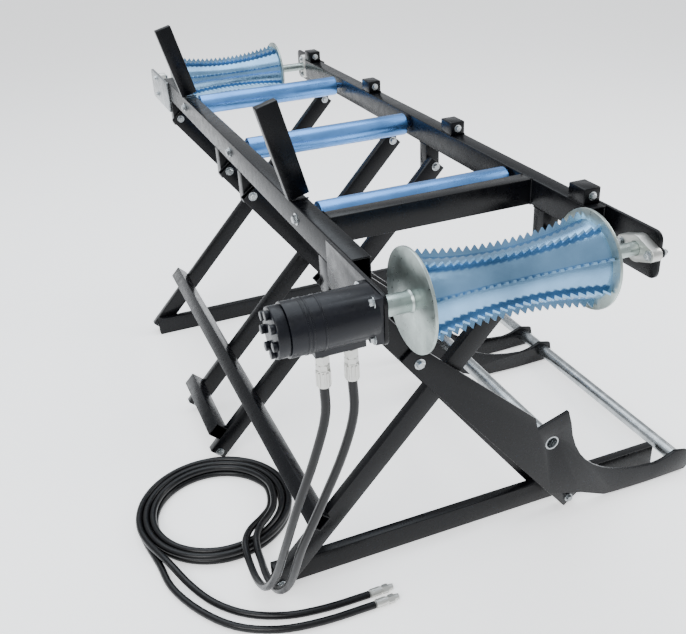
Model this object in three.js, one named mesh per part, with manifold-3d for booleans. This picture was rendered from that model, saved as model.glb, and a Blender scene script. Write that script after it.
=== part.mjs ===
// A roller infeed table for logs: two rails on crossed legs, two toothed end rollers,
// three plain rollers, loading hooks on one side and a hydraulic motor with its hoses.
// Millimetres, +X to the hook side, +Y along the table, +Z up, floor at z = 0.
import * as THREE from "three";
import { mergeVertices } from "three/addons/utils/BufferGeometryUtils.js";
import Module from "manifold-3d";

const wasm = await Module();
wasm.setup();

// Driving sizes.
const GAP = 0.3; // left between pieces that touch
const RAIL_LENGTH = 1700;
const RAIL_MID_Y = 98.5;
const RAIL_WIDTH = 40;
const RAIL_HEIGHT = 60;
const RAIL_WALL = 4;
const RAIL_BOTTOM_Z = 830;
const CLEAR_WIDTH = 480; // between the rails' inner faces
const LEG_DEPTH = 50;
const LEG_WIDTH = 25;
const LEG_WALL = 3;
const LEG_TOP_PAST_BOLT = 12;
const LEG_FOOT_PAST_BOLT = 12;
const POST = 40;
const POST_BOTTOM_Z = 748;
const CROSS_TUBE_FROM_END = 211;
const FOOT_BOLT_Z = 28;
const TOP_BOLT_Z = 773;
const FOOT_BEAM_HEIGHT = 60;
const FOOT_BEAM_WIDTH = 25;
const FOOT_BEAM_LENGTH = 1105;
const FOOT_BEAM_LEFT_X = -455;
const TIE = 40;
const LONG_TIE_HEIGHT = 169; // where each tie meets its legs, above the floor
const SHORT_TIE_HEIGHT = 66;
const LONG_TIE_NEAR_SETBACK = 5;
const LONG_TIE_FAR_OVERHANG = 12;
const PLATE_THICKNESS = 8;
const PLATE_LENGTH = 275;
const PLATE_HEIGHT = 100;
const PLATE_CORNER = 22;
const BLOCK_LENGTH = 55;
const BLOCK_HEIGHT = 34;
const BLOCK_FROM_NEAR_END = 22;
const MIDDLE_BLOCKS_Y = [-165, 363];
const STAKE_LEAN = 15; // degrees
const STAKE_LENGTH = 215;
const STAKE_WIDTH = 50;
const STAKE_THICKNESS = 25;
const STAKE_Y = { stake_near: -400, stake_far: 645 };
const HOOK_THICKNESS = 10;
const HOOK_PAIR_PITCH = 116;
const CROSS_ROD_OVERHANG = 6; // past the far hook
const TIP_ROD_OVERHANG = 205;
const TIP_ROD_RADIUS = 19;
const TIP_ROD_BORE = 15;
const CROSS_ROD_RADIUS = 19;
const CROSS_ROD_BORE = 15;
const IDLE_RADIUS = 30;
const IDLE_PIN_RADIUS = 10;
const IDLE_PITCH = 539;
const IDLE_SIDE_CLEARANCE = 10;
const DRIVE_AXLE_Z = 848;
const DRIVE_DISC_RADIUS = 98;
const DRIVE_DISC_THICKNESS = 6;
const DRIVE_LENGTH = 376;
const DRIVE_MIDDLE_X = -33; // the rollers sit nearer the motor side
const DRIVE_END_RADIUS = 78;
const DRIVE_WAIST_RADIUS = 56;
const BLADE_WAIST_RADIUS = 70;
const DRIVE_BLADES = 8;
const DRIVE_BLADE_THICKNESS = 5;
const SHAFT_RADIUS = 14;
const SHAFT_HOLE_CLEARANCE = 8; // round the shaft where it passes the left plate
const NEAR_AXLE_PAST_RAIL = 121.5;
const FAR_AXLE_PAST_RAIL = 91.5;
const NEAR_PLATE_PAST_AXLE = 42;
const FAR_PLATE_PAST_AXLE = 110;
const BLADE_SETBACK = 6; // of the blades' ends inside the discs' rims
const BEARING_THICKNESS = 22;
const BEARING_HUB_RADIUS = 27;
const BEARING_EAR_RADIUS = 14;
const BEARING_REACH = { y: 54, z: 42 };
const MOTOR_RADIUS = 49;
const MOTOR_LENGTH = 166;
const MOTOR_COVER_LENGTH = 22;
const MOTOR_COVER_STEP = 3;
const MOTOR_FLANGE_HALF = 48;
const MOTOR_FLANGE_THICKNESS = 16;
const MOTOR_FLANGE_HALF_WIDTH = 40;
const PORT_FROM_FACE = { a: 101.4, b: 47.4 };
const PORT_BLOCK_PAST = 20;
const PORT_BLOCK_HALF_WIDTH = 24;
const PORT_BLOCK_DROP = 6; // below the motor's round body
const FITTING_RADIUS = 12;
const HOSE_RADIUS = 9;
const HOSE_END_GAP = 2.5;
const HOSE_END_LENGTH = 57.5;
const COIL_CENTRE = [-515, -277];
const COIL_RADIUS = 188;
const COIL_TURNS_WIDE = 3;
const COIL_TURNS_HIGH = 2;

// Values worked out from them.
const RAIL_INNER_X = CLEAR_WIDTH / 2;
const RAIL_OUTER_X = RAIL_INNER_X + RAIL_WIDTH;
const RAIL_MID_X = RAIL_INNER_X + RAIL_WIDTH / 2;
const RAIL_TOP_Z = RAIL_BOTTOM_Z + RAIL_HEIGHT;
const RAIL_NEAR_Y = RAIL_MID_Y - RAIL_LENGTH / 2;
const RAIL_FAR_Y = RAIL_MID_Y + RAIL_LENGTH / 2;
const IDLE_AXLE_Z = RAIL_BOTTOM_Z + RAIL_HEIGHT / 2;
const PLATE_TOP_Z = RAIL_TOP_Z;
const NEAR_AXLE_Y = RAIL_NEAR_Y - NEAR_AXLE_PAST_RAIL;
const FAR_AXLE_Y = RAIL_FAR_Y + FAR_AXLE_PAST_RAIL;

const root = new THREE.Group();
const cordNames = new Set();

function paint(color, roughness, metalness) {
  return () => new THREE.MeshStandardMaterial({ color, roughness, metalness });
}
const blackPaint = paint(0x16171a, 0.4, 0.2);
const zinc = paint(0xb9c4cc, 0.35, 0.9);
const bluePlate = paint(0x6f9fd0, 0.35, 0.8);
const castBlack = paint(0x1d2026, 0.5, 0.4);
const steel = paint(0xb8bdc0, 0.3, 0.9);
const rubber = paint(0x101010, 0.7, 0);

function addMesh(name, geometry, material, isCord = false) {
  const mesh = new THREE.Mesh(geometry, material());
  mesh.name = name;
  root.add(mesh);
  if (isCord) cordNames.add(name);
  return mesh;
}

function solidOf(geometry) {
  const bare = geometry.clone();
  bare.deleteAttribute("normal");
  bare.deleteAttribute("uv");
  const merged = mergeVertices(bare, 1e-3);
  const vertProperties = new Float32Array(merged.attributes.position.array);
  const triVerts = new Uint32Array(merged.index.array);
  return new wasm.Manifold(new wasm.Mesh({ numProp: 3, vertProperties, triVerts }));
}

function geometryOf(solid) {
  const mesh = solid.getMesh();
  const geometry = new THREE.BufferGeometry();
  geometry.setAttribute("position", new THREE.BufferAttribute(mesh.vertProperties, 3));
  geometry.setIndex(new THREE.BufferAttribute(mesh.triVerts, 1));
  geometry.computeVertexNormals();
  return geometry;
}

function join(...geometries) {
  return geometryOf(geometries.map(solidOf).reduce((a, b) => a.add(b)));
}

function cut(geometry, ...tools) {
  return geometryOf(tools.map(solidOf).reduce((a, b) => a.subtract(b), solidOf(geometry)));
}

function box(low, high) {
  const size = high.map((value, i) => value - low[i]);
  const middle = high.map((value, i) => (value + low[i]) / 2);
  return new THREE.BoxGeometry(...size).translate(...middle);
}

// A cylinder along X.
function barX(x0, x1, radius, y, z, sides = 24) {
  return new THREE.CylinderGeometry(radius, radius, x1 - x0, sides)
    .rotateZ(Math.PI / 2)
    .translate((x0 + x1) / 2, y, z);
}

// A round bar along Y, hollow when a bore is given.
function barY(y0, y1, radius, x, z, bore = 0) {
  const profile = new THREE.Shape().absarc(0, 0, radius, 0, 2 * Math.PI);
  if (bore) profile.holes.push(new THREE.Path().absarc(0, 0, bore, 0, 2 * Math.PI));
  return new THREE.ExtrudeGeometry(profile, { depth: y1 - y0, bevelEnabled: false, curveSegments: 12 })
    .rotateX(Math.PI / 2)
    .translate(x, y1, z);
}

// A rectangular tube along its own Z, open at both ends.
function tube(width, depth, wall, length) {
  const outer = new THREE.BoxGeometry(width, depth, length);
  const inner = new THREE.BoxGeometry(width - 2 * wall, depth - 2 * wall, length + 2);
  return cut(outer, inner);
}

// A tube in the X-Z plane from one bolt to another, past both by the given lengths.
function slantedTube(top, foot, nearY, pastTop, pastFoot) {
  const run = new THREE.Vector2(top[0] - foot[0], top[1] - foot[1]);
  const length = run.length() + pastTop + pastFoot;
  const along = run.normalize();
  const centre = [
    foot[0] + along.x * (length / 2 - pastFoot),
    foot[1] + along.y * (length / 2 - pastFoot),
  ];
  return tube(LEG_DEPTH, LEG_WIDTH, LEG_WALL, length)
    .rotateY(Math.atan2(along.x, along.y))
    .translate(centre[0], nearY + LEG_WIDTH / 2, centre[1]);
}

// Bays: each has a leg that leans left and one or two that lean right, side by side along Y.
const LEFT_TOP = [-RAIL_MID_X - 2, TOP_BOLT_Z];
const RIGHT_TOP = [RAIL_MID_X - 4, TOP_BOLT_Z];
const LEFT_FOOT = [-445, FOOT_BOLT_Z];
const RIGHT_FOOT = [312, FOOT_BOLT_Z];
const FRONT_FOOT = [340, FOOT_BOLT_Z + 2];
const LAYER = LEG_WIDTH + GAP;
const BAY_Y = { A: 808, B: 229.5, C: -50.5, D: -619.7 };
const NEAR_BEAM_Y = BAY_Y.D + LAYER;
const FAR_BEAM_Y = BAY_Y.A - GAP - FOOT_BEAM_WIDTH;
const PAST_NEAR_BEAM_Y = NEAR_BEAM_Y + FOOT_BEAM_WIDTH + GAP;

const legs = {
  leg_left_A: [RIGHT_TOP, LEFT_FOOT, BAY_Y.A],
  leg_right_a: [LEFT_TOP, RIGHT_FOOT, BAY_Y.A + LAYER],
  leg_left_B: [RIGHT_TOP, LEFT_FOOT, BAY_Y.B],
  leg_right_b: [LEFT_TOP, RIGHT_FOOT, BAY_Y.B - LAYER],
  leg_left_C: [RIGHT_TOP, LEFT_FOOT, BAY_Y.C],
  leg_right_c: [LEFT_TOP, RIGHT_FOOT, BAY_Y.C + LAYER],
  leg_left_D: [RIGHT_TOP, LEFT_FOOT, BAY_Y.D],
  leg_right_d: [LEFT_TOP, RIGHT_FOOT, PAST_NEAR_BEAM_Y],
  leg_right_e: [LEFT_TOP, FRONT_FOOT, BAY_Y.D - LAYER],
};

function addLegs() {
  for (const [name, [top, foot, nearY]] of Object.entries(legs)) {
    const shape = slantedTube(top, foot, nearY, LEG_TOP_PAST_BOLT, LEG_FOOT_PAST_BOLT);
    addMesh(name, shape, blackPaint);
  }
}

function addPost(name, side, nearY, depth = POST) {
  const top = RAIL_BOTTOM_Z - GAP;
  const shape = tube(POST, depth, LEG_WALL, top - POST_BOTTOM_Z)
    .translate(side * RAIL_MID_X, nearY + depth / 2, (top + POST_BOTTOM_Z) / 2);
  addMesh(name, shape, blackPaint);
}

// A post hangs from the rail on the far side of each leg's top.
function addPosts() {
  for (const bay of "ABCD") addPost("post_right_" + bay, 1, BAY_Y[bay] + LAYER);
  addPost("post_left_a", -1, BAY_Y.A + 2 * LAYER);
  addPost("post_left_b", -1, BAY_Y.B);
  addPost("post_left_c", -1, BAY_Y.C + 2 * LAYER);
  addPost("post_left_d", -1, BAY_Y.D, PAST_NEAR_BEAM_Y - GAP - BAY_Y.D);
}

function addRails() {
  for (const [name, side] of [["rail_left", -1], ["rail_right", 1]]) {
    const rail = tube(RAIL_WIDTH, RAIL_HEIGHT, RAIL_WALL, RAIL_LENGTH)
      .rotateX(Math.PI / 2)
      .translate(side * RAIL_MID_X, RAIL_MID_Y, RAIL_BOTTOM_Z + RAIL_HEIGHT / 2);
    addMesh(name, rail, blackPaint);
  }
}

function addCrossTube() {
  const nearY = RAIL_NEAR_Y + CROSS_TUBE_FROM_END;
  const cross = tube(RAIL_HEIGHT, RAIL_WIDTH, RAIL_WALL, CLEAR_WIDTH - 2 * GAP)
    .rotateY(Math.PI / 2)
    .translate(0, nearY + RAIL_WIDTH / 2, RAIL_BOTTOM_Z + RAIL_HEIGHT / 2);
  addMesh("cross_tube", cross, blackPaint);
}

// A plate carries each end roller; its outer corner is rounded and it may have a shaft hole.
function endPlate(side, axleY, outward, holeRadius) {
  const past = outward > 0 ? FAR_PLATE_PAST_AXLE : NEAR_PLATE_PAST_AXLE;
  const outer = axleY + outward * past;
  const inner = outer - outward * PLATE_LENGTH;
  const bottom = PLATE_TOP_Z - PLATE_HEIGHT;
  const shape = new THREE.Shape();
  shape.moveTo(inner, bottom);
  shape.lineTo(outer - outward * PLATE_CORNER, bottom);
  shape.quadraticCurveTo(outer, bottom, outer, bottom + PLATE_CORNER);
  shape.lineTo(outer, PLATE_TOP_Z - PLATE_CORNER);
  shape.quadraticCurveTo(outer, PLATE_TOP_Z, outer - outward * PLATE_CORNER, PLATE_TOP_Z);
  shape.lineTo(inner, PLATE_TOP_Z);
  if (holeRadius) {
    shape.holes.push(new THREE.Path().absarc(axleY, DRIVE_AXLE_Z, holeRadius, 0, 2 * Math.PI));
  }
  const x0 = side > 0 ? RAIL_OUTER_X + GAP : -RAIL_OUTER_X - GAP - PLATE_THICKNESS;
  return plateYZ(shape, PLATE_THICKNESS, x0);
}

// An outline drawn in Y-Z, given a thickness along X from x0.
function plateYZ(shape, thickness, x0) {
  return new THREE.ExtrudeGeometry(shape, { depth: thickness, bevelEnabled: false, curveSegments: 8 })
    .rotateZ(Math.PI / 2)
    .rotateY(Math.PI / 2)
    .translate(x0, 0, 0);
}

function addEndPlates() {
  addMesh("end_plate_near_right", endPlate(1, NEAR_AXLE_Y, -1, 0), blackPaint);
  const shaftHole = SHAFT_RADIUS + SHAFT_HOLE_CLEARANCE;
  addMesh("end_plate_near_left", endPlate(-1, NEAR_AXLE_Y, -1, shaftHole), blackPaint);
  addMesh("end_plate_far_right", endPlate(1, FAR_AXLE_Y, 1, 0), blackPaint);
  addMesh("end_plate_far_left", endPlate(-1, FAR_AXLE_Y, 1, 0), zinc);
}

function addFeet() {
  const x1 = FOOT_BEAM_LEFT_X + FOOT_BEAM_LENGTH;
  for (const [name, y] of [["foot_beam_near", NEAR_BEAM_Y], ["foot_beam_far", FAR_BEAM_Y]]) {
    const beam = tube(FOOT_BEAM_HEIGHT, FOOT_BEAM_WIDTH, LEG_WALL, FOOT_BEAM_LENGTH)
      .rotateY(Math.PI / 2)
      .translate((FOOT_BEAM_LEFT_X + x1) / 2, y + FOOT_BEAM_WIDTH / 2, FOOT_BEAM_HEIGHT / 2);
    addMesh(name, beam, blackPaint);
  }
}

// Tie tubes lie along Y on the outer face of the left-leaning legs, at a height above the floor.
function tieTube(y0, y1, legHeight) {
  const run = new THREE.Vector2(RIGHT_TOP[0] - LEFT_FOOT[0], RIGHT_TOP[1] - LEFT_FOOT[1]).normalize();
  const offset = LEG_DEPTH / 2 + GAP + TIE / 2;
  const along = (legHeight - LEFT_FOOT[1]) / run.y;
  const x = LEFT_FOOT[0] + run.x * along - run.y * offset;
  const z = legHeight + run.x * offset;
  return tube(TIE, TIE, LEG_WALL, y1 - y0)
    .rotateX(Math.PI / 2)
    .rotateY(Math.atan2(run.x, run.y))
    .translate(x, (y0 + y1) / 2, z);
}

function addTies() {
  const start = BAY_Y.D - LAYER + LONG_TIE_NEAR_SETBACK;
  const end = BAY_Y.A + LEG_WIDTH + LONG_TIE_FAR_OVERHANG;
  addMesh("tie_tube_long", tieTube(start, end, LONG_TIE_HEIGHT), blackPaint);
  addMesh("tie_tube_short", tieTube(BAY_Y.C, BAY_Y.B + LEG_WIDTH, SHORT_TIE_HEIGHT), blackPaint);
}

// The hook plate's outline in X-Z: a straight shank, a spike, a deep curve and a blunt tip.
const TIP_ROD_AT = [690, 42];
const CROSS_ROD_AT = [267, 236];
function hookPlate(nearY, tipHole) {
  const shape = new THREE.Shape();
  shape.moveTo(-139, 579);
  shape.lineTo(-101, 611);
  shape.lineTo(215, 325);
  shape.lineTo(223, 288);
  shape.lineTo(310, 317);
  shape.lineTo(321, 279);
  shape.quadraticCurveTo(345, 75, 604, 57);
  shape.quadraticCurveTo(640, 60, 674, 77);
  shape.lineTo(715, 67);
  shape.lineTo(723, 20);
  shape.lineTo(714, 6);
  shape.lineTo(682, 6);
  shape.quadraticCurveTo(560, 0, 447, 9);
  shape.lineTo(370, 43);
  shape.lineTo(273, 73);
  const hole = (at, radius) => shape.holes.push(new THREE.Path().absarc(...at, radius, 0, 2 * Math.PI));
  hole(CROSS_ROD_AT, CROSS_ROD_RADIUS + GAP);
  if (tipHole) hole(TIP_ROD_AT, TIP_ROD_RADIUS + GAP);
  return new THREE.ExtrudeGeometry(shape, { depth: HOOK_THICKNESS, bevelEnabled: false, curveSegments: 10 })
    .rotateX(Math.PI / 2)
    .translate(0, nearY + HOOK_THICKNESS, 0);
}

function addHooks() {
  const frontY = BAY_Y.D - LAYER - GAP - HOOK_THICKNESS;
  const middleY = BAY_Y.C + 2 * LAYER;
  const backY = middleY + HOOK_PAIR_PITCH;
  const hooksEnd = backY + HOOK_THICKNESS;
  addMesh("hook_plate_near", hookPlate(frontY, false), blackPaint);
  addMesh("hook_plate_middle", hookPlate(middleY, true), blackPaint);
  addMesh("hook_plate_far", hookPlate(backY, true), blackPaint);
  const tipStart = frontY + HOOK_THICKNESS + GAP;
  const tipEnd = hooksEnd + TIP_ROD_OVERHANG;
  addMesh("tip_rod", barY(tipStart, tipEnd, TIP_ROD_RADIUS, ...TIP_ROD_AT, TIP_ROD_BORE), zinc);
  const crossEnd = hooksEnd + CROSS_ROD_OVERHANG;
  addMesh("cross_rod", barY(frontY, crossEnd, CROSS_ROD_RADIUS, ...CROSS_ROD_AT, CROSS_ROD_BORE), zinc);
}

function addRailBlocks() {
  const starts = [RAIL_NEAR_Y + BLOCK_FROM_NEAR_END, ...MIDDLE_BLOCKS_Y, RAIL_FAR_Y - BLOCK_LENGTH];
  starts.forEach((y, i) => {
    const low = [RAIL_INNER_X, y, RAIL_TOP_Z + GAP];
    const high = [RAIL_OUTER_X, y + BLOCK_LENGTH, RAIL_TOP_Z + GAP + BLOCK_HEIGHT];
    addMesh("rail_block_" + (i + 1), box(low, high), blackPaint);
  });
}

// Side stakes stand on the left rail and lean outwards.
function addStakes() {
  const lean = THREE.MathUtils.degToRad(STAKE_LEAN);
  const liftToClear = (Math.sin(lean) * STAKE_WIDTH) / 2 + GAP;
  for (const [name, y] of Object.entries(STAKE_Y)) {
    const stake = new THREE.BoxGeometry(STAKE_WIDTH, STAKE_THICKNESS, STAKE_LENGTH)
      .translate(0, 0, STAKE_LENGTH / 2)
      .rotateY(-lean)
      .translate(-RAIL_MID_X, y, RAIL_TOP_Z + liftToClear);
    addMesh(name, stake, blackPaint);
  }
}

function addIdleRollers() {
  const bodyEnd = RAIL_INNER_X - IDLE_SIDE_CLEARANCE;
  const pinEnd = RAIL_INNER_X - GAP;
  for (const i of [1, 2, 3]) {
    const y = RAIL_MID_Y + (i - 2) * IDLE_PITCH;
    const body = barX(-bodyEnd, bodyEnd, IDLE_RADIUS, y, IDLE_AXLE_Z, 32);
    const pin = barX(-pinEnd, pinEnd, IDLE_PIN_RADIUS, y, IDLE_AXLE_Z, 16);
    addMesh("idle_roller_" + i, join(body, pin), bluePlate);
  }
}

// The toothed roller's waist: the radius falls from the discs to the middle.
function waist(t, endRadius, middleRadius) {
  const s = 2 * t - 1;
  return middleRadius + (endRadius - middleRadius) * s * s;
}

function toothedRoller(axleY, shaftLeft, shaftRight) {
  const steps = 6;
  const half = DRIVE_LENGTH / 2;
  const profile = [new THREE.Vector2(0, -half)];
  for (let i = 0; i <= steps; i += 1) {
    const radius = waist(i / steps, DRIVE_END_RADIUS, DRIVE_WAIST_RADIUS);
    profile.push(new THREE.Vector2(radius, -half + (DRIVE_LENGTH * i) / steps));
  }
  profile.push(new THREE.Vector2(0, half));
  let solid = solidOf(new THREE.LatheGeometry(profile, 24));
  const blade = new THREE.Shape().moveTo(0, -half);
  for (let i = 0; i <= steps; i += 1) {
    const radius = waist(i / steps, DRIVE_DISC_RADIUS - BLADE_SETBACK, BLADE_WAIST_RADIUS);
    blade.lineTo(radius, -half + (DRIVE_LENGTH * i) / steps);
  }
  blade.lineTo(0, half);
  for (let i = 0; i < DRIVE_BLADES; i += 1) {
    const depth = DRIVE_BLADE_THICKNESS;
    const fin = new THREE.ExtrudeGeometry(blade, { depth, bevelEnabled: false })
      .translate(0, 0, -depth / 2)
      .rotateY((2 * Math.PI * (i + 0.5)) / DRIVE_BLADES);
    solid = solid.add(solidOf(fin));
  }
  for (const y of [-half, half - DRIVE_DISC_THICKNESS]) {
    const disc = new THREE.CylinderGeometry(DRIVE_DISC_RADIUS, DRIVE_DISC_RADIUS, DRIVE_DISC_THICKNESS, 32)
      .translate(0, y + DRIVE_DISC_THICKNESS / 2, 0);
    solid = solid.add(solidOf(disc));
  }
  const body = geometryOf(solid).rotateZ(Math.PI / 2).translate(DRIVE_MIDDLE_X, axleY, DRIVE_AXLE_Z);
  return join(body, barX(shaftLeft, shaftRight, SHAFT_RADIUS, axleY, DRIVE_AXLE_Z));
}

function addToothedRollers() {
  const shaftEnd = RAIL_OUTER_X - GAP;
  const motorEnd = -(RAIL_OUTER_X + GAP + PLATE_THICKNESS);
  addMesh("toothed_roller_near", toothedRoller(NEAR_AXLE_Y, motorEnd, shaftEnd), bluePlate);
  addMesh("toothed_roller_far", toothedRoller(FAR_AXLE_Y, -shaftEnd, shaftEnd), bluePlate);
}

// An oval flange bearing on a plate's inner face, its bolts along Y or along Z.
function bearing(side, axleY, along) {
  const toEar = BEARING_REACH[along] - BEARING_EAR_RADIUS;
  const [dy, dz] = along === "y" ? [toEar, 0] : [0, toEar];
  const turn = along === "y" ? 0 : Math.PI / 2;
  const third = Math.PI / 3;
  const shape = new THREE.Shape();
  const arc = (y, z, radius, from, to) => {
    shape.absarc(axleY + y, DRIVE_AXLE_Z + z, radius, turn + from * third, turn + to * third);
  };
  arc(dy, dz, BEARING_EAR_RADIUS, -1, 1);
  arc(0, 0, BEARING_HUB_RADIUS, 1, 2);
  arc(-dy, -dz, BEARING_EAR_RADIUS, 2, 4);
  arc(0, 0, BEARING_HUB_RADIUS, 4, 5);
  const bore = new THREE.Path().absarc(axleY, DRIVE_AXLE_Z, SHAFT_RADIUS + GAP, 0, 2 * Math.PI);
  shape.holes.push(bore);
  const x0 = side > 0 ? RAIL_OUTER_X - BEARING_THICKNESS : -RAIL_OUTER_X;
  return plateYZ(shape, BEARING_THICKNESS, x0);
}

function addBearings() {
  addMesh("bearing_near_right", bearing(1, NEAR_AXLE_Y, "y"), castBlack);
  addMesh("bearing_far_right", bearing(1, FAR_AXLE_Y, "z"), castBlack);
  addMesh("bearing_far_left", bearing(-1, FAR_AXLE_Y, "z"), castBlack);
}

// The motor stands on the left plate's outer face, with two ports under its body.
const MOTOR_FACE_X = -(RAIL_OUTER_X + GAP + PLATE_THICKNESS + GAP);
const PORT_X = { a: MOTOR_FACE_X - PORT_FROM_FACE.a, b: MOTOR_FACE_X - PORT_FROM_FACE.b };
const PORT_FACE_Z = DRIVE_AXLE_Z - MOTOR_RADIUS - PORT_BLOCK_DROP;
function addMotor() {
  const end = MOTOR_FACE_X - MOTOR_LENGTH;
  const z = DRIVE_AXLE_Z;
  const intoFlange = MOTOR_FLANGE_THICKNESS / 2;
  const flange = box(
    [MOTOR_FACE_X - MOTOR_FLANGE_THICKNESS, NEAR_AXLE_Y - MOTOR_FLANGE_HALF_WIDTH, z - MOTOR_FLANGE_HALF],
    [MOTOR_FACE_X, NEAR_AXLE_Y + MOTOR_FLANGE_HALF_WIDTH, z + MOTOR_FLANGE_HALF_WIDTH],
  );
  const body = barX(end, MOTOR_FACE_X - intoFlange, MOTOR_RADIUS, NEAR_AXLE_Y, z, 40);
  const ports = box(
    [PORT_X.a - PORT_BLOCK_PAST, NEAR_AXLE_Y - PORT_BLOCK_HALF_WIDTH, PORT_FACE_Z],
    [PORT_X.b + PORT_BLOCK_PAST, NEAR_AXLE_Y + PORT_BLOCK_HALF_WIDTH, z],
  );
  addMesh("motor_housing", join(flange, body, ports), castBlack);
  const coverEnd = end - GAP - MOTOR_COVER_LENGTH;
  const cover = barX(coverEnd, end - GAP, MOTOR_RADIUS - MOTOR_COVER_STEP, NEAR_AXLE_Y, z, 40);
  addMesh("motor_end_cover", cover, castBlack);
}

// A fitting hangs from each port: an adaptor, then the hose's crimped sleeve.
function fittingProfile(length, bodyRadius) {
  const points = [
    [0, 0],
    [bodyRadius - 3, 0],
    [bodyRadius - 3, 8],
    [bodyRadius + 1, 8],
    [bodyRadius + 1, 24],
    [bodyRadius - 2, 28],
    [bodyRadius - 2, 34],
    [bodyRadius + 1, 34],
    [bodyRadius + 1, length],
    [0, length],
  ];
  return points.map(([r, h]) => new THREE.Vector2(r, h));
}

const FITTING_LENGTH = 72;
function addFittings() {
  for (const name of ["a", "b"]) {
    const fitting = new THREE.LatheGeometry(fittingProfile(FITTING_LENGTH, FITTING_RADIUS), 24)
      .rotateX(-Math.PI / 2)
      .translate(PORT_X[name], NEAR_AXLE_Y, PORT_FACE_Z - GAP);
    addMesh("hose_fitting_" + name, fitting, steel);
  }
}

// Hoses: each hangs from its fitting, lies round the foot, joins the coil and comes out to its end.
const HOSE_START_Z = PORT_FACE_Z - GAP - FITTING_LENGTH - GAP;
const LEAD_ROUTES = {
  a: [
    [PORT_X.a, NEAR_AXLE_Y, HOSE_START_Z],
    [-391, -873, 660],
    [-415, -862, 560],
    [-448, -838, 440],
    [-472, -800, 310],
    [-488, -745, 180],
    [-498, -680, 100],
    [-501, -620, 68],
    [-499, -560, 54],
    [-495, -505, 50],
  ],
  b: [
    [PORT_X.b, NEAR_AXLE_Y, HOSE_START_Z],
    [-336, -873, 650],
    [-357, -864, 560],
    [-400, -846, 440],
    [-442, -816, 310],
    [-463, -770, 180],
    [-474, -712, 110],
    [-478, -650, 78],
    [-476, -600, 64],
    [-471, -550, 54],
    [-467, -505, 50],
  ],
};
const TAIL_ROUTES = {
  a: [
    [-697, -411, 10],
    [-685, -500, 10],
    [-640, -600, 10],
    [-575, -680, 10],
    [-490, -728, 10],
    [-390, -748, 10],
    [-262, -752, 10],
  ],
  b: [
    [-676, -434, 27.5],
    [-641, -520, 14],
    [-600, -594, 10],
    [-540, -656, 10],
    [-460, -697, 10],
    [-370, -714, 10],
    [-262, -718, 10],
  ],
};

function hoseTube(points, stepsPerPoint) {
  const path = new THREE.CatmullRomCurve3(points.map((p) => new THREE.Vector3(...p)), false, "centripetal");
  const section = new THREE.Shape().absarc(0, 0, HOSE_RADIUS, 0, 2 * Math.PI);
  return new THREE.ExtrudeGeometry(section, {
    extrudePath: path,
    steps: (points.length - 1) * stepsPerPoint,
    bevelEnabled: false,
    curveSegments: 4,
  });
}

function addHoses() {
  for (const name of ["a", "b"]) {
    addMesh("hose_lead_" + name, hoseTube(LEAD_ROUTES[name], 3), rubber, true);
    addMesh("hose_tail_" + name, hoseTube(TAIL_ROUTES[name], 2), rubber, true);
    const [x, y, z] = TAIL_ROUTES[name].at(-1);
    const start = x + HOSE_END_GAP;
    const end = barX(start, start + HOSE_END_LENGTH, FITTING_RADIUS - 2, y, z + 1, 16);
    addMesh("hose_end_" + name, end, steel, true);
  }
}

function addCoil() {
  const halfWide = (HOSE_RADIUS * 2 * COIL_TURNS_WIDE) / 2;
  const high = HOSE_RADIUS * 2 * COIL_TURNS_HIGH;
  const corners = [
    [COIL_RADIUS - halfWide, 0],
    [COIL_RADIUS + halfWide, 0],
    [COIL_RADIUS + halfWide, high],
    [COIL_RADIUS - halfWide, high],
    [COIL_RADIUS - halfWide, 0],
  ];
  const ring = new THREE.LatheGeometry(corners.map(([r, h]) => new THREE.Vector2(r, h)), 32)
    .rotateX(Math.PI / 2)
    .translate(...COIL_CENTRE, 0.5);
  addMesh("hose_coil", ring, rubber, true);
}

addRails();
addCrossTube();
addPosts();
addLegs();
addFeet();
addTies();
addEndPlates();
addHooks();
addRailBlocks();
addStakes();
addIdleRollers();
addToothedRollers();
addBearings();
addMotor();
addFittings();
addHoses();
addCoil();

// The origin is on the floor under the middle of the table, without its hoses.
const extent = new THREE.Box3();
for (const mesh of root.children) {
  if (!cordNames.has(mesh.name)) extent.expandByObject(mesh);
}
const middle = extent.getCenter(new THREE.Vector3());
root.position.set(-middle.x, -middle.y, 0);

export default root;
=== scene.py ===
"""The finished look of a log roller table: painted frame, plated rollers, motor, bolts and hoses."""

import math

import bmesh
import bpy
from mathutils import Matrix, Vector


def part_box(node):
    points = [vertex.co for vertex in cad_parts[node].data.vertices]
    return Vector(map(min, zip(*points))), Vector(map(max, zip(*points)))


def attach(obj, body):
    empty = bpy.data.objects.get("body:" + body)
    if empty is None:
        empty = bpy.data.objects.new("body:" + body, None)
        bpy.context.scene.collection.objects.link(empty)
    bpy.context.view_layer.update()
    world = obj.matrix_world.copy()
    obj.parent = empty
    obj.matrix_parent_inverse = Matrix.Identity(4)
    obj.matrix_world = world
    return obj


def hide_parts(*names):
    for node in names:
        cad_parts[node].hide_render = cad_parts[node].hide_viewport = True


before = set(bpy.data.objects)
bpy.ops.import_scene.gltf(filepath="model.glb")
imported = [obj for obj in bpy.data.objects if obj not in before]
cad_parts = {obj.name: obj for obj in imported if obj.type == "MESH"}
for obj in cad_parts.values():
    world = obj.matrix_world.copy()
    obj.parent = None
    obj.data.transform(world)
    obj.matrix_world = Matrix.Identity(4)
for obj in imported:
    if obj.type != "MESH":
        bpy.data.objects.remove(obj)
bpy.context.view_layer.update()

bl_info = {
    "name": "Log Roller Table",
    "version": (1, 0, 0),
    "blender": (4, 5, 0),
    "location": "View3D > Sidebar > Roller Table",
    "description": "Builds the finished surfaces of a hydraulic log roller table",
    "category": "Add Mesh",
}

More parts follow.
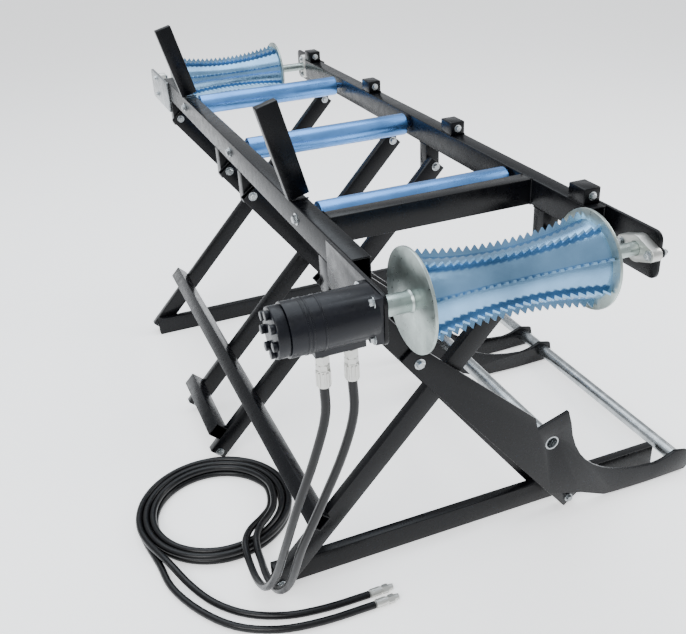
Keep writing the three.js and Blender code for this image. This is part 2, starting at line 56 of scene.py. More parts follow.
MM = 0.001
RAIL_MIDDLE_Y = 0.0985
RAIL_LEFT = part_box("rail_left")
RAIL_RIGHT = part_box("rail_right")
# The table's own zero: midway between the rails, RAIL_MIDDLE_Y before their middle.
ZERO = Vector((
    (RAIL_LEFT[0].x + RAIL_RIGHT[1].x) / 2,
    (RAIL_LEFT[0].y + RAIL_LEFT[1].y) / 2 - RAIL_MIDDLE_Y,
    0.0,
))
TOP_BOLT_Z = 0.773
FOOT_BOLT_Z = 0.028
LEFT_TOP_X = -0.262
RIGHT_TOP_X = 0.256
LEFT_FOOT_X = -0.445
RIGHT_FOOT_X = 0.312
FRONT_FOOT_X = 0.340


class TableSizes(bpy.types.PropertyGroup):
    edge_round: bpy.props.FloatProperty(
        name="Edge round", description="Radius of the folded steel's corners",
        default=0.0025, min=0.0, unit="LENGTH")
    tooth_pitch: bpy.props.FloatProperty(
        name="Tooth pitch", description="Distance between two teeth of a roller blade",
        default=0.0155, min=0.004, unit="LENGTH")
    tooth_depth: bpy.props.FloatProperty(
        name="Tooth depth", description="Depth of a tooth below its tip",
        default=0.011, min=0.001, unit="LENGTH")
    blades: bpy.props.IntProperty(
        name="Blades", description="Toothed blades round one roller", default=8, min=3, max=16)
    hose_width: bpy.props.FloatProperty(
        name="Hose width", description="Outer diameter of a hydraulic hose",
        default=0.018, min=0.005, unit="LENGTH")
    bolt_size: bpy.props.FloatProperty(
        name="Bolt head", description="Width across the corners of a frame bolt's head",
        default=0.0165, min=0.005, unit="LENGTH")


class TableColours(bpy.types.PropertyGroup):
    paint: bpy.props.FloatVectorProperty(
        name="Paint", description="Powder coat of the frame",
        default=(0.0018, 0.002, 0.0028), size=3, subtype="COLOR")
    plate: bpy.props.FloatVectorProperty(
        name="Blue plate", description="Blue passivated zinc of the rollers",
        default=(0.11, 0.29, 0.66), size=3, subtype="COLOR")
    zinc: bpy.props.FloatVectorProperty(
        name="Zinc", description="Bright zinc of rods and bolts",
        default=(0.36, 0.38, 0.39), size=3, subtype="COLOR")
    rubber: bpy.props.FloatVectorProperty(
        name="Hose cover", description="Rubber of the hoses",
        default=(0.0022, 0.0022, 0.0028), size=3, subtype="COLOR")


# Materials ---------------------------------------------------------------------------------

def new_material(name, metallic, roughness):
    material = bpy.data.materials.new(name)
    material.use_nodes = True
    shader = material.node_tree.nodes["Principled BSDF"]
    shader.inputs["Metallic"].default_value = metallic
    shader.inputs["Roughness"].default_value = roughness
    return material, shader


def noise(material, scale, detail=4.0, stretch=(1, 1, 1)):
    nodes, links = material.node_tree.nodes, material.node_tree.links
    place = nodes.new("ShaderNodeTexCoord")
    mapping = nodes.new("ShaderNodeMapping")
    mapping.inputs["Scale"].default_value = stretch
    links.new(place.outputs["Object"], mapping.inputs["Vector"])
    texture = nodes.new("ShaderNodeTexNoise")
    texture.inputs["Scale"].default_value = scale
    texture.inputs["Detail"].default_value = detail
    links.new(mapping.outputs["Vector"], texture.inputs["Vector"])
    return texture.outputs["Fac"]


def ramp(material, factor, low, high, colour_low, colour_high):
    nodes, links = material.node_tree.nodes, material.node_tree.links
    node = nodes.new("ShaderNodeValToRGB")
    node.color_ramp.elements[0].position = low
    node.color_ramp.elements[1].position = high
    node.color_ramp.elements[0].color = (*colour_low, 1)
    node.color_ramp.elements[1].color = (*colour_high, 1)
    links.new(factor, node.inputs["Fac"])
    return node.outputs["Color"]


def grey(value):
    return (value, value, value)


def bump(material, shader, height, strength, distance):
    nodes, links = material.node_tree.nodes, material.node_tree.links
    node = nodes.new("ShaderNodeBump")
    node.inputs["Strength"].default_value = strength
    node.inputs["Distance"].default_value = distance
    links.new(height, node.inputs["Height"])
    links.new(node.outputs["Normal"], shader.inputs["Normal"])


def shade(colour, factor):
    return tuple(min(1.0, c * factor) for c in colour)


def finish_material(name, colour, metallic, rough, patch, grain, gloss=0.5, grain_stretch=(1, 1, 1)):
    """Colour drifts over large patches, roughness over small ones, and a fine grain gives the bump."""
    material, shader = new_material(name, metallic, sum(rough) / 2)
    links = material.node_tree.links
    drift = noise(material, patch, 5.0)
    links.new(ramp(material, drift, 0.3, 0.72, shade(colour, 0.72), shade(colour, 1.3)),
              shader.inputs["Base Color"])
    smear = noise(material, patch * 6, 6.0, grain_stretch)
    links.new(ramp(material, smear, 0.25, 0.75, grey(rough[0]), grey(rough[1])),
              shader.inputs["Roughness"])
    bump(material, shader, noise(material, grain, 3.0, grain_stretch), 0.25, 0.0004)
    shader.inputs["Specular IOR Level"].default_value = gloss
    return material


def make_materials():
    colours = bpy.context.scene.table_colours
    paint = tuple(colours.paint)
    plate = tuple(colours.plate)
    zinc = tuple(colours.zinc)
    rubber = tuple(colours.rubber)
    finish_material("powder_coat", paint, 0.0, (0.2, 0.34), 7, 900, gloss=0.2)
    finish_material("blue_zinc_plate", plate, 0.9, (0.20, 0.40), 9, 500, grain_stretch=(0.2, 1, 1))
    finish_material("pale_zinc_plate", (0.19, 0.36, 0.56), 0.94, (0.14, 0.3), 9, 500,
                    grain_stretch=(0.2, 1, 1))
    finish_material("disc_zinc_plate", (0.36, 0.42, 0.40), 0.92, (0.24, 0.42), 22, 420)
    finish_material("bright_zinc", zinc, 0.95, (0.2, 0.34), 30, 700)
    finish_material("motor_paint", (0.0028, 0.0034, 0.006), 0.05, (0.24, 0.42), 25, 260, gloss=0.26)
    finish_material("fitting_steel", (0.17, 0.18, 0.14), 0.85, (0.28, 0.45), 45, 800)
    finish_material("hose_cover", rubber, 0.0, (0.24, 0.4), 30, 600, gloss=0.28)


def material(name):
    return bpy.data.materials[name]


# Mesh helpers ------------------------------------------------------------------------------

def to_object(bm, name, material_names, body, smooth_angle=35):
    mesh = bpy.data.meshes.new(name)
    bm.to_mesh(mesh)
    bm.free()
    for one in material_names:
        mesh.materials.append(material(one))
    piece = bpy.data.objects.new(name, mesh)
    bpy.context.scene.collection.objects.link(piece)
    mesh.shade_smooth()
    mesh.set_sharp_from_angle(angle=math.radians(smooth_angle))
    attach(piece, body)
    return piece


def bevel_edges(bm, edges, width, segments=2):
    bmesh.ops.bevel(bm, geom=list(edges), offset=width, offset_type="OFFSET", segments=segments,
                    profile=0.5, affect="EDGES", material=-1, clamp_overlap=True)


def add_ring_solid(bm, centre, axis, radius, length, sides, turn=0.0, top_radius=None):
    """A capped round or hexagonal bar from centre along axis."""
    axis = Vector(axis).normalized()
    spin = axis.to_track_quat("Z", "Y").to_matrix().to_4x4()
    place = Matrix.Translation(Vector(centre) + axis * length / 2) @ spin @ Matrix.Rotation(turn, 4, "Z")
    made = bmesh.ops.create_cone(
        bm, cap_ends=True, cap_tris=False, segments=sides, radius1=radius,
        radius2=radius if top_radius is None else top_radius, depth=length, matrix=place)
    return made["verts"]


def add_bolt(bm, centre, axis, across, turn=0.0):
    """A washer and a hexagonal head with a chamfer."""
    axis = Vector(axis).normalized()
    centre = Vector(centre)
    washer = across * 0.11
    head = across * 0.42
    add_ring_solid(bm, centre, axis, across * 0.72, washer, 24)
    add_ring_solid(bm, centre + axis * washer, axis, across / 2, head * 0.82, 6, turn)
    add_ring_solid(bm, centre + axis * (washer + head * 0.82), axis, across / 2, head * 0.18, 6, turn,
                   top_radius=across * 0.42)


def add_nut(bm, centre, axis, across, turn=0.0):
    """A washer and a nut with the bolt's threaded end standing out of it."""
    axis = Vector(axis).normalized()
    centre = Vector(centre)
    washer = across * 0.11
    add_ring_solid(bm, centre, axis, across * 0.72, washer, 24)
    add_ring_solid(bm, centre + axis * washer, axis, across / 2, across * 0.46, 6, turn)
    start = washer + across * 0.46
    for i in range(3):
        add_ring_solid(bm, centre + axis * (start + i * 0.0016), axis, across * 0.3, 0.0012, 20,
                       top_radius=across * 0.27)


def copy_of_node(node):
    bm = bmesh.new()
    bm.from_mesh(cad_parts[node].data)
    bmesh.ops.remove_doubles(bm, verts=bm.verts, dist=1e-5)
    return bm


def soften_node(node, material_name, body="frame", width=None, smooth=35):
    """A copy of a plain steel node with its corners rounded, in place of the sharp one."""
    bm = copy_of_node(node)
    bmesh.ops.dissolve_limit(bm, angle_limit=math.radians(1.5), verts=bm.verts, edges=bm.edges,
                             delimit={"NORMAL"})
    width = width or bpy.context.scene.table_sizes.edge_round
    sharp = [e for e in bm.edges if len(e.link_faces) == 2 and e.calc_face_angle(0) > math.radians(40)]
    bevel_edges(bm, sharp, width)
    bmesh.ops.triangulate(bm, faces=[f for f in bm.faces if len(f.verts) > 4])
    piece = to_object(bm, node + "_finish", [material_name], body, smooth)
    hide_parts(node)
    return piece


def at(x, y, z):
    """A point given from the table's own zero, in metres."""
    return ZERO + Vector((x, y, z))


# Pieces ------------------------------------------------------------------------------------

class TABLE_OT_materials(bpy.types.Operator):
    """Make the paint, plating, steel and rubber"""
    bl_idname = "table.materials"
    bl_label = "Materials"

    def execute(self, context):
        make_materials()
        return {"FINISHED"}


def steel_nodes():
    starts = ("rail_", "leg_", "post_", "foot_beam", "tie_tube", "cross_tube", "hook_plate",
              "stake_", "end_plate")
    return sorted(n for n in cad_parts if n.startswith(starts))


class TABLE_OT_frame(bpy.types.Operator):
    """Round the corners of the painted frame and give it its powder coat"""
    bl_idname = "table.frame"
    bl_label = "Frame"

    def execute(self, context):
        for node in steel_nodes():
            bright = node == "end_plate_far_left"
            thin = node.startswith(("hook_plate", "end_plate"))
            soften_node(node, "bright_zinc" if bright else "powder_coat",
                        width=0.0012 if thin else None)
        return {"FINISHED"}


class TABLE_OT_rods(bpy.types.Operator):
    """Give the hook rod and tube their bright zinc"""
    bl_idname = "table.rods"
    bl_label = "Rods"

    def execute(self, context):
        for node in ("tip_rod", "cross_rod"):
            soften_node(node, "bright_zinc", width=0.001)
        return {"FINISHED"}


def roller_profile(t, end_radius, waist_radius):
    s = 2 * t - 1
    return waist_radius + (end_radius - waist_radius) * s * s


def add_blade(bm, x0, x1, axle, angle, sizes):
    """One blade: its saw teeth follow the waist, and its foot is inside the body."""
    count = int((x1 - x0) / sizes.tooth_pitch)
    pitch = (x1 - x0) / count
    half = 0.0025
    outline = [(x0, 0.045)]
    for i in range(count):
        t0 = i / count
        t1 = (i + 0.62) / count
        outline.append((x0 + pitch * i, roller_profile(t0, 0.093, 0.071) - sizes.tooth_depth))
        outline.append((x0 + pitch * (i + 0.62), roller_profile(t1, 0.093, 0.071)))
    outline.append((x1, roller_profile(1, 0.093, 0.071) - sizes.tooth_depth))
    outline.append((x1, 0.045))
    verts = [bm.verts.new((x, -half, r)) for x, r in outline]
    face = bm.faces.new(verts)
    made = bmesh.ops.extrude_face_region(bm, geom=[face])
    moved = [v for v in made["geom"] if isinstance(v, bmesh.types.BMVert)]
    bmesh.ops.translate(bm, verts=moved, vec=(0, 2 * half, 0))
    place = Matrix.Translation(axle) @ Matrix.Rotation(angle, 4, "X")
    bmesh.ops.transform(bm, matrix=place, verts=verts + moved)


def add_waisted_body(bm, x0, x1, axle):
    """The body is a spun profile, closed flat at each end."""
    steps = 28
    points = [(x0, 0.0)]
    for i in range(steps + 1):
        t = i / steps
        points.append((x0 + (x1 - x0) * t, roller_profile(t, 0.078, 0.056)))
    points.append((x1, 0.0))
    verts = [bm.verts.new((x, 0, r)) for x, r in points]
    edges = [bm.edges.new(pair) for pair in zip(verts, verts[1:])]
    bmesh.ops.spin(bm, geom=verts + edges, cent=(0, 0, 0), axis=(1, 0, 0), dvec=(0, 0, 0),
                   angle=2 * math.pi, steps=64, use_merge=True, use_duplicate=False)
    bmesh.ops.remove_doubles(bm, verts=bm.verts, dist=1e-6)
    bmesh.ops.recalc_face_normals(bm, faces=bm.faces)
    bmesh.ops.translate(bm, verts=bm.verts, vec=axle)


DRIVE_SLEEVE = 0.052  # out to the motor's plate
PLAIN_SLEEVE = 0.012


def make_toothed_roller(node, body):
    sizes = bpy.context.scene.table_sizes
    low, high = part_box(node)
    axle = Vector((0, (low.y + high.y) / 2, (low.z + high.z) / 2))
    middle = ZERO.x - 0.033
    x0, x1 = middle - 0.188, middle + 0.188
    bm = bmesh.new()
    add_waisted_body(bm, x0 + 0.003, x1 - 0.003, axle)
    for i in range(sizes.blades):
        add_blade(bm, x0 + 0.006, x1 - 0.006, axle, 2 * math.pi * (i + 0.5) / sizes.blades, sizes)
    bmesh.ops.recalc_face_normals(bm, faces=bm.faces)
    plated = set(bm.faces)
    for x in (x0, x1 - 0.006):
        verts = add_ring_solid(bm, (x, axle.y, axle.z), (1, 0, 0), 0.098, 0.006, 72)
        rim = {e for v in verts for e in v.link_edges if e.calc_face_angle(0) > 1.0}
        bevel_edges(bm, rim, 0.0008)
    add_ring_solid(bm, (low.x + 0.0003, axle.y, axle.z), (1, 0, 0), 0.0139, high.x - low.x - 0.0006, 40)
    for side, x in ((-1, x0), (1, x1)):
        add_ring_solid(bm, (x - 0.001 * side, axle.y, axle.z), (side, 0, 0), 0.0225, 0.005, 40,
                       top_radius=0.0198)
        sleeve = DRIVE_SLEEVE if side < 0 and body == "near_roller" else PLAIN_SLEEVE
        add_ring_solid(bm, (x, axle.y, axle.z), (side, 0, 0), 0.0196, sleeve, 40)
    for face in bm.faces:
        face.material_index = 0 if face in plated else 1
    piece = to_object(bm, node + "_finish", ["pale_zinc_plate", "disc_zinc_plate"], body, 30)
    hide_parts(node)


class TABLE_OT_toothed_rollers(bpy.types.Operator):
    """Build both waisted rollers with their saw-toothed blades and end discs"""
    bl_idname = "table.toothed_rollers"
    bl_label = "Toothed Rollers"

    def execute(self, context):
        make_toothed_roller("toothed_roller_near", "near_roller")
        make_toothed_roller("toothed_roller_far", "far_roller")
        return {"FINISHED"}


class TABLE_OT_idle_rollers(bpy.types.Operator):
    """Build the plain rollers with chamfered ends and pressed-in bearing rings"""
    bl_idname = "table.idle_rollers"
    bl_label = "Idle Rollers"

    def execute(self, context):
        for i in (1, 2, 3):
            low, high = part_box("idle_roller_%d" % i)
            axle_y, axle_z = (low.y + high.y) / 2, (low.z + high.z) / 2
            x0, x1 = ZERO.x - 0.230, ZERO.x + 0.230
            bm = bmesh.new()
            verts = add_ring_solid(bm, (x0, axle_y, axle_z), (1, 0, 0), 0.030, x1 - x0, 64)
            ends = {e for v in verts for e in v.link_edges if e.calc_face_angle(0) > 1.0}
            bevel_edges(bm, ends, 0.002, 3)
            caps = [f for f in bm.faces if abs(f.normal.x) > 0.99]
            bmesh.ops.inset_individual(bm, faces=caps, thickness=0.004, depth=0)
            bmesh.ops.inset_individual(bm, faces=caps, thickness=0.0015, depth=-0.003)
            add_ring_solid(bm, (low.x, axle_y, axle_z), (1, 0, 0), 0.0099, high.x - low.x, 32)
            piece = to_object(bm, "idle_roller_%d_finish" % i, ["blue_zinc_plate"], "idle_%d" % i)
            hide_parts("idle_roller_%d" % i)
        return {"FINISHED"}


class TABLE_OT_motor(bpy.types.Operator):
    """Round the motor's castings and fit its cover bolts and bearing housings"""
    bl_idname = "table.motor"
    bl_label = "Motor"

    def execute(self, context):
        for node in ("motor_housing", "motor_end_cover"):
            soften_node(node, "motor_paint", width=0.0022)
        for node in ("bearing_near_right", "bearing_far_right", "bearing_far_left"):
            soften_node(node, "fitting_steel", width=0.0022)
        self.add_cover_bolts()
        self.add_ribs()
        return {"FINISHED"}

    def add_cover_bolts(self):
        low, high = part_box("motor_end_cover")
        centre_y, centre_z = (low.y + high.y) / 2, (low.z + high.z) / 2
        bm = bmesh.new()
        for i in range(7):
            angle = 2 * math.pi * i / 7
            spot = (low.x + 0.0002, centre_y + 0.0345 * math.sin(angle), centre_z + 0.0345 * math.cos(angle))
            verts = add_ring_solid(bm, spot, (-1, 0, 0), 0.0085, 0.0085, 12)
            rim = {e for v in verts for e in v.link_edges if e.calc_face_angle(0) > 1.0}
            bevel_edges(bm, rim, 0.0008)
        to_object(bm, "motor_cover_bolts", ["motor_paint"], "frame")
        bm = bmesh.new()
        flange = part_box("motor_housing")
        for dy in (-0.031, 0.031):
            for dz in (-0.034, 0.028):
                add_bolt(bm, (flange[1].x - 0.0163, centre_y + dy * 1.05, centre_z + dz * 1.1), (-1, 0, 0), 0.016)
        to_object(bm, "motor_flange_bolts", ["bright_zinc"], "frame")

    def add_ribs(self):
        """Joint lines between the motor's stacked sections stand out as thin rings."""
        low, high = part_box("motor_end_cover")
        centre_y, centre_z = (low.y + high.y) / 2, (low.z + high.z) / 2
        bm = bmesh.new()
        for offset in (0.028, 0.036, 0.058):
            verts = add_ring_solid(bm, (high.x + offset, centre_y, centre_z), (1, 0, 0), 0.0502, 0.004, 64)
            rim = {e for v in verts for e in v.link_edges if e.calc_face_angle(0) > 1.0}
            bevel_edges(bm, rim, 0.0009)
        to_object(bm, "motor_section_rings", ["motor_paint"], "frame")


BAYS = {"A": 0.808, "B": 0.2295, "C": -0.0505, "D": -0.6197}
LEG_WIDTH = 0.025
LAYER = 0.0253


def cross_point():
    """Where the left-leaning and the right-leaning legs cross."""
    left = (TOP_BOLT_Z - FOOT_BOLT_Z) / (RIGHT_TOP_X - LEFT_FOOT_X)
    right = (TOP_BOLT_Z - FOOT_BOLT_Z) / (RIGHT_FOOT_X - LEFT_TOP_X)
    x = (left * RIGHT_TOP_X + right * LEFT_TOP_X) / (left + right)
    return x, TOP_BOLT_Z - left * (RIGHT_TOP_X - x)


class TABLE_OT_bolts(bpy.types.Operator):
    """Fit hexagonal bolts and nuts at every leg joint, foot and roller pin"""
    bl_idname = "table.bolts"
    bl_label = "Bolts"

    def execute(self, context):
        across = context.scene.table_sizes.bolt_size
        self.leg_bolts(across)
        self.rail_bolts(across)
        self.plate_bolts(across)
        return {"FINISHED"}

    def leg_bolts(self, across):
        x_cross, z_cross = cross_point()
        bm = bmesh.new()
        turn = 0.2
        near_of = {"A": 0.808, "B": 0.2295, "C": -0.0505, "D": -0.6197}
        partner = {"A": LAYER, "B": -LAYER, "C": LAYER, "D": 2 * LAYER}
        for bay, y in near_of.items():
            other = y + partner[bay]
            for x, z, face in ((RIGHT_TOP_X, TOP_BOLT_Z, y), (LEFT_FOOT_X, FOOT_BOLT_Z, y),
                               (LEFT_TOP_X, TOP_BOLT_Z, other), (RIGHT_FOOT_X, FOOT_BOLT_Z, other),
                               (x_cross, z_cross, min(y, other))):
                add_bolt(bm, at(x, face, z), (0, -1, 0), across, turn)
                turn += 0.7
            add_nut(bm, at(x_cross, max(y, other) + LEG_WIDTH, z_cross), (0, 1, 0), across, turn)
        front = BAYS["D"] - LAYER
        hook_face = front - 0.0103
        add_bolt(bm, at(FRONT_FOOT_X, front, FOOT_BOLT_Z + 0.002), (0, -1, 0), across, 0.4)
        add_bolt(bm, at(-0.095, hook_face, 0.564), (0, -1, 0), across * 1.1, 0.9)
        to_object(bm, "leg_bolts", ["bright_zinc"], "frame")

    def rail_bolts(self, across):
        bm = bmesh.new()
        for i in (1, 2, 3):
            low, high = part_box("idle_roller_%d" % i)
            y, z = (low.y + high.y) / 2, (low.z + high.z) / 2
            add_bolt(bm, (RAIL_LEFT[0].x, y, z), (-1, 0, 0), across * 1.15, i * 0.6)
            add_bolt(bm, (RAIL_RIGHT[1].x, y, z), (1, 0, 0), across * 1.15, i * 0.9)
            add_nut(bm, (RAIL_LEFT[1].x, y, z), (1, 0, 0), across * 0.98, i * 0.4)
        for i in (1, 2, 3, 4):
            low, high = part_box("rail_block_%d" % i)
            add_bolt(bm, ((low.x + high.x) / 2, low.y, (low.z + high.z) / 2), (0, -1, 0), across * 0.8, i)
        to_object(bm, "rail_bolts", ["bright_zinc"], "frame")

    def plate_bolts(self, across):
        bm = bmesh.new()
        low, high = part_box("bearing_near_right")
        z = (low.z + high.z) / 2
        for y in (low.y + 0.014, high.y - 0.014):
            add_bolt(bm, (low.x, y, z), (-1, 0, 0), across * 0.85, y)
            add_nut(bm, (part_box("end_plate_near_right")[1].x, y, z), (1, 0, 0), across * 0.85, y)
        for node, side in (("far_right", 1), ("far_left", -1)):
            low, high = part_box("bearing_" + node)
            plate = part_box("end_plate_" + node)
            y = (low.y + high.y) / 2
            for z in (low.z + 0.014, high.z - 0.014):
                x = low.x if side > 0 else high.x
                add_bolt(bm, (x, y, z), (-side, 0, 0), across * 0.85, z)
                add_nut(bm, (plate[1].x if side > 0 else plate[0].x, y, z), (side, 0, 0), across * 0.85, z)
        to_object(bm, "bearing_bolts", ["bright_zinc"], "frame")


def add_weld(bm, start, end, size):
    """A bead of overlapping drops between two points."""
    start, end = Vector(start), Vector(end)
    count = max(3, int((end - start).length / (size * 0.75)))
    for i in range(count + 1):
        spot = start.lerp(end, i / count)
        wobble = 0.9 + 0.18 * math.sin(i * 2.3)
        bmesh.ops.create_icosphere(bm, subdivisions=1, radius=size * wobble,
                                   matrix=Matrix.Translation(spot))


class TABLE_OT_welds(bpy.types.Operator):
    """Lay weld beads where posts, blocks and the cross tube meet the rails"""
    bl_idname = "table.welds"
    bl_label = "Welds"

    def execute(self, context):
        bead = 0.0022
        bm = bmesh.new()
        for node in sorted(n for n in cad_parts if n.startswith("post_")):
            low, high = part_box(node)
            for y in (low.y, high.y):
                add_weld(bm, (low.x, y, high.z), (high.x, y, high.z), bead)
        for node in sorted(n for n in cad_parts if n.startswith("rail_block")):
            low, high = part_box(node)
            for x in (low.x, high.x):
                add_weld(bm, (x, low.y, low.z), (x, high.y, low.z), bead * 0.8)
        low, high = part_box("cross_tube")
        for x in (low.x, high.x):
            for y in (low.y, high.y):
                add_weld(bm, (x, y, low.z), (x, y, high.z), bead)
        for node in ("stake_near", "stake_far"):
            low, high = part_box(node)
            z = RAIL_LEFT[1].z + bead
            add_weld(bm, (RAIL_LEFT[0].x + 0.004, low.y, z), (RAIL_LEFT[1].x, low.y, z), bead)
        to_object(bm, "weld_beads", ["powder_coat"], "frame", 60)
        return {"FINISHED"}


# Hoses -------------------------------------------------------------------------------------

PORT_X = {"a": -0.390, "b": -0.336}
NEAR_AXLE_Y = -0.873
HOSE_START_Z = 0.848 - 0.049 - 0.006 - 0.0003 - 0.072 - 0.0003
COIL_CENTRE = Vector((-0.515, -0.277))
LEADS = {
    "a": [(-0.391, -0.873, 0.660), (-0.415, -0.862, 0.560), (-0.448, -0.838, 0.440),
          (-0.472, -0.800, 0.310), (-0.488, -0.745, 0.180), (-0.498, -0.680, 0.100),
          (-0.501, -0.620, 0.068), (-0.499, -0.560, 0.054), (-0.495, -0.505, 0.050)],
    "b": [(-0.336, -0.873, 0.650), (-0.357, -0.864, 0.560), (-0.400, -0.846, 0.440),
          (-0.442, -0.816, 0.310), (-0.463, -0.770, 0.180), (-0.474, -0.712, 0.110),
          (-0.478, -0.650, 0.078), (-0.476, -0.600, 0.064), (-0.471, -0.550, 0.054),
          (-0.467, -0.505, 0.050)],
}
# Each hose crosses over the turns and joins the coil from inside; points are from its middle.
JOINS = {
    "a": [(0.028, -0.190, 0.052), (0.052, -0.150, 0.048), (0.090, -0.112, 0.038),
          (0.126, -0.066, 0.024), (0.146, -0.010, 0.013)],
    "b": [(0.056, -0.190, 0.052), (0.078, -0.152, 0.050), (0.108, -0.118, 0.044),
          (0.136, -0.076, 0.036), (0.152, -0.024, 0.030)],
}
# First angle, last angle, first radius, last radius and height of each hose's turns.
TURNS = {
    "a": (15, 910, 0.156, 0.2016, 0.0095),
    "b": (10, 920, 0.159, 0.2052, 0.0275),
}
TAILS = {
    "a": [(-0.697, -0.411, 0.010), (-0.685, -0.500, 0.010), (-0.640, -0.600, 0.010),
          (-0.575, -0.680, 0.010), (-0.490, -0.728, 0.010), (-0.390, -0.748, 0.010),
          (-0.262, -0.752, 0.010)],
    "b": [(-0.676, -0.434, 0.0275), (-0.641, -0.520, 0.014), (-0.600, -0.594, 0.010),
          (-0.540, -0.656, 0.010), (-0.460, -0.697, 0.010), (-0.370, -0.714, 0.010),
          (-0.262, -0.718, 0.010)],
}
TURN_STEP = 15


def hose_points(name):
    points = [(PORT_X[name], NEAR_AXLE_Y, HOSE_START_Z)] + LEADS[name]
    points += [(COIL_CENTRE.x + x, COIL_CENTRE.y + y, z) for x, y, z in JOINS[name]]
    first, last, inner, outer, height = TURNS[name]
    steps = round((last - first) / TURN_STEP)
    for i in range(steps + 1):
        angle = math.radians(first + (last - first) * i / steps)
        radius = inner + (outer - inner) * i / steps
        points.append((COIL_CENTRE.x + radius * math.cos(angle),
                       COIL_CENTRE.y + radius * math.sin(angle), height))
    return [at(*p) for p in points + TAILS[name]]


def smooth_path(points, per_gap=5):
    """A round curve through the points, the same one as the plain model's tubes follow."""
    made = []
    for i in range(len(points) - 1):
        p1, p2 = points[i], points[i + 1]
        p0 = points[i - 1] if i else p1 + (p1 - p2)
        p3 = points[i + 2] if i + 2 < len(points) else p2 + (p2 - p1)
        gaps = [max(1e-5, math.sqrt((b - a).length)) for a, b in ((p0, p1), (p1, p2), (p2, p3))]
        t1 = (p1 - p0) / gaps[0] - (p2 - p0) / (gaps[0] + gaps[1]) + (p2 - p1) / gaps[1]
        t2 = (p2 - p1) / gaps[1] - (p3 - p1) / (gaps[1] + gaps[2]) + (p3 - p2) / gaps[2]
        t1, t2 = t1 * gaps[1], t2 * gaps[1]
        for k in range(per_gap):
            s = k / per_gap
            made.append(p1 * (2 * s**3 - 3 * s**2 + 1) + t1 * (s**3 - 2 * s**2 + s)
                        + p2 * (-2 * s**3 + 3 * s**2) + t2 * (s**3 - s**2))
    return made + [points[-1]]


def make_hose(name, points, width):
    curve = bpy.data.curves.new("hose_" + name, "CURVE")
    curve.dimensions = "3D"
    curve.bevel_depth = width / 2
    curve.bevel_resolution = 5
    curve.use_fill_caps = True
    spline = curve.splines.new("POLY")
    spline.points.add(len(points) - 1)
    for target, point in zip(spline.points, points):
        target.co = (*point, 1)
    spline.use_smooth = True
    curve.materials.append(material("hose_cover"))
    hose = bpy.data.objects.new("hose_" + name, curve)
    bpy.context.scene.collection.objects.link(hose)
    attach(hose, "frame")
    return hose


def make_hose_end(name):
    """A coupling: a crimped sleeve, a hexagonal nut and a short nose."""
    node = "hose_end_" + name
    low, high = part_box(node)
    y, z = (low.y + high.y) / 2, (low.z + high.z) / 2
    bm = bmesh.new()
    add_ring_solid(bm, (low.x, y, z), (1, 0, 0), 0.0102, 0.026, 32)
    for i in range(4):
        add_ring_solid(bm, (low.x + 0.003 + i * 0.0055, y, z), (1, 0, 0), 0.0108, 0.003, 32)
    add_ring_solid(bm, (low.x + 0.026, y, z), (1, 0, 0), 0.0085, 0.005, 24)
    add_ring_solid(bm, (low.x + 0.031, y, z), (1, 0, 0), 0.0112, 0.014, 6, 0.3)
    add_ring_solid(bm, (low.x + 0.045, y, z), (1, 0, 0), 0.008, high.x - low.x - 0.045, 24, top_radius=0.0072)
    piece = to_object(bm, node + "_finish", ["fitting_steel"], "frame")
    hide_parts(node)
    return piece


def make_port_fitting(name):
    """A hexagonal adaptor under the port and the hose's long crimped sleeve."""
    node = "hose_fitting_" + name
    low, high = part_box(node)
    x, y = (low.x + high.x) / 2, (low.y + high.y) / 2
    length = high.z - low.z
    down = (0, 0, -1)
    bm = bmesh.new()
    add_ring_solid(bm, (x, y, high.z), down, 0.0105, 0.008, 28)
    add_ring_solid(bm, (x, y, high.z - 0.008), down, 0.0142, 0.014, 6, 0.3)
    add_ring_solid(bm, (x, y, high.z - 0.022), down, 0.0110, 0.005, 28)
    add_ring_solid(bm, (x, y, high.z - 0.027), down, 0.0128, 0.011, 6, 0.8)
    sleeve = length - 0.038
    verts = add_ring_solid(bm, (x, y, high.z - 0.038), down, 0.0124, sleeve, 40)
    for i in range(10):
        angle = 2 * math.pi * i / 10
        spot = (x + 0.0122 * math.cos(angle), y + 0.0122 * math.sin(angle), high.z - 0.041)
        add_ring_solid(bm, spot, down, 0.0022, sleeve - 0.006, 8)
    piece = to_object(bm, node + "_finish", ["fitting_steel"], "frame")
    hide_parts(node)
    return piece


class TABLE_OT_hoses(bpy.types.Operator):
    """Lay both hoses from the motor over the coil's turns and out to their couplings"""
    bl_idname = "table.hoses"
    bl_label = "Hoses"

    def execute(self, context):
        width = context.scene.table_sizes.hose_width
        for name in ("a", "b"):
            points = smooth_path(hose_points(name), 4)
            hose = make_hose(name, points, width)
            fitting = make_port_fitting(name)
            coupling = make_hose_end(name)
            covered = ["hose_lead_" + name, "hose_tail_" + name]
            if name == "a":
                covered.append("hose_coil")
            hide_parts(*covered)
        return {"FINISHED"}


# Stage -------------------------------------------------------------------------------------

CAMERA_PLACE = (-0.798, -2.080, 1.5405)
CAMERA_RIGHT = (0.926, -0.374, -0.048)
CAMERA_BACK = (-0.308, -0.825, 0.474)
LENS_MM = 45.0
SENSOR_MM = 36.0


def add_camera():
    back = Vector(CAMERA_BACK).normalized()
    right = Vector(CAMERA_RIGHT)
    right = (right - back * right.dot(back)).normalized()
    up = back.cross(right)
    turn = Matrix((right, up, back)).transposed().to_4x4()
    data = bpy.data.cameras.new("camera")
    data.lens = LENS_MM
    data.sensor_width = SENSOR_MM
    camera = bpy.data.objects.new("camera", data)
    camera.matrix_world = Matrix.Translation(at(*CAMERA_PLACE)) @ turn
    bpy.context.scene.collection.objects.link(camera)
    bpy.context.scene.camera = camera


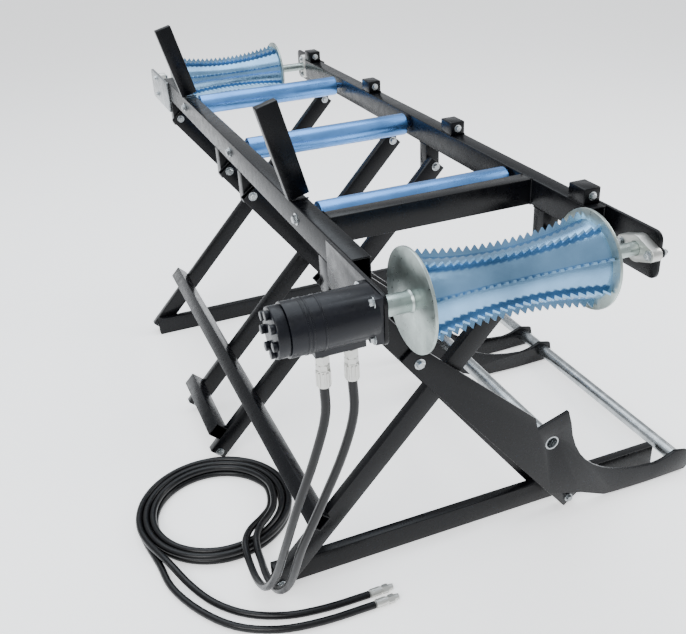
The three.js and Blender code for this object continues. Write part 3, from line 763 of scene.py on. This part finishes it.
def add_area_light(name, place, aim, size, power, tint=(1, 1, 1)):
    data = bpy.data.lights.new(name, "AREA")
    data.shape = "RECTANGLE"
    data.size, data.size_y = size
    data.energy = power
    data.color = tint
    lamp = bpy.data.objects.new(name, data)
    place = Vector(place)
    lamp.matrix_world = Matrix.Translation(place) @ (
        (place - Vector(aim)).to_track_quat("Z", "Y").to_matrix().to_4x4())
    bpy.context.scene.collection.objects.link(lamp)


class TABLE_OT_stage(bpy.types.Operator):
    """Set the floor, the light and the camera"""
    bl_idname = "table.stage"
    bl_label = "Stage"

    def execute(self, context):
        bm = bmesh.new()
        bmesh.ops.create_grid(bm, x_segments=1, y_segments=1, size=30)
        mesh = bpy.data.meshes.new("floor")
        bm.to_mesh(mesh)
        bm.free()
        pale, shader = new_material("pale_floor", 0.0, 0.9)
        shader.inputs["Base Color"].default_value = (0.96, 0.96, 0.96, 1)
        shader.inputs["Emission Color"].default_value = (1, 1, 1, 1)
        shader.inputs["Emission Strength"].default_value = 0.75
        mesh.materials.append(pale)
        floor = bpy.data.objects.new("floor", mesh)
        context.scene.collection.objects.link(floor)
        world = bpy.data.worlds.new("studio")
        world.use_nodes = True
        background = world.node_tree.nodes["Background"]
        background.inputs["Color"].default_value = (0.93, 0.96, 1.0, 1)
        background.inputs["Strength"].default_value = 0.75
        context.scene.world = world
        add_area_light("sky_panel", (-0.5, 0.8, 4.2), (0, 0, 0.5), (4.5, 4.5), 210, (0.86, 0.93, 1.0))
        add_area_light("key_panel", (-3.2, -3.0, 3.2), (0, -0.3, 0.5), (2.2, 2.2), 150)
        add_area_light("side_panel", (3.4, -0.5, 2.4), (0, 0, 0.6), (1.6, 2.6), 90)
        add_camera()
        return {"FINISHED"}


class TABLE_PT_panel(bpy.types.Panel):
    """Lists the table's pieces"""
    bl_idname = "TABLE_PT_panel"
    bl_label = "Roller Table"
    bl_space_type = "VIEW_3D"
    bl_region_type = "UI"
    bl_category = "Roller Table"

    def draw(self, context):
        for group in (context.scene.table_sizes, context.scene.table_colours):
            for name in group.__annotations__:
                self.layout.prop(group, name)
        for operator in OPERATORS:
            self.layout.operator(operator.bl_idname)


OPERATORS = (TABLE_OT_materials, TABLE_OT_stage, TABLE_OT_hoses, TABLE_OT_frame, TABLE_OT_rods,
             TABLE_OT_toothed_rollers, TABLE_OT_idle_rollers, TABLE_OT_motor, TABLE_OT_bolts,
             TABLE_OT_welds)
CLASSES = (TableSizes, TableColours, *OPERATORS, TABLE_PT_panel)


def register():
    for cls in CLASSES:
        bpy.utils.register_class(cls)
    bpy.types.Scene.table_sizes = bpy.props.PointerProperty(type=TableSizes)
    bpy.types.Scene.table_colours = bpy.props.PointerProperty(type=TableColours)


def unregister():
    del bpy.types.Scene.table_colours
    del bpy.types.Scene.table_sizes
    for cls in reversed(CLASSES):
        bpy.utils.unregister_class(cls)


def main():
    register()
    for operator in OPERATORS:
        group, name = operator.bl_idname.split(".")
        getattr(getattr(bpy.ops, group), name)()


if __name__ == "__main__":
    main()
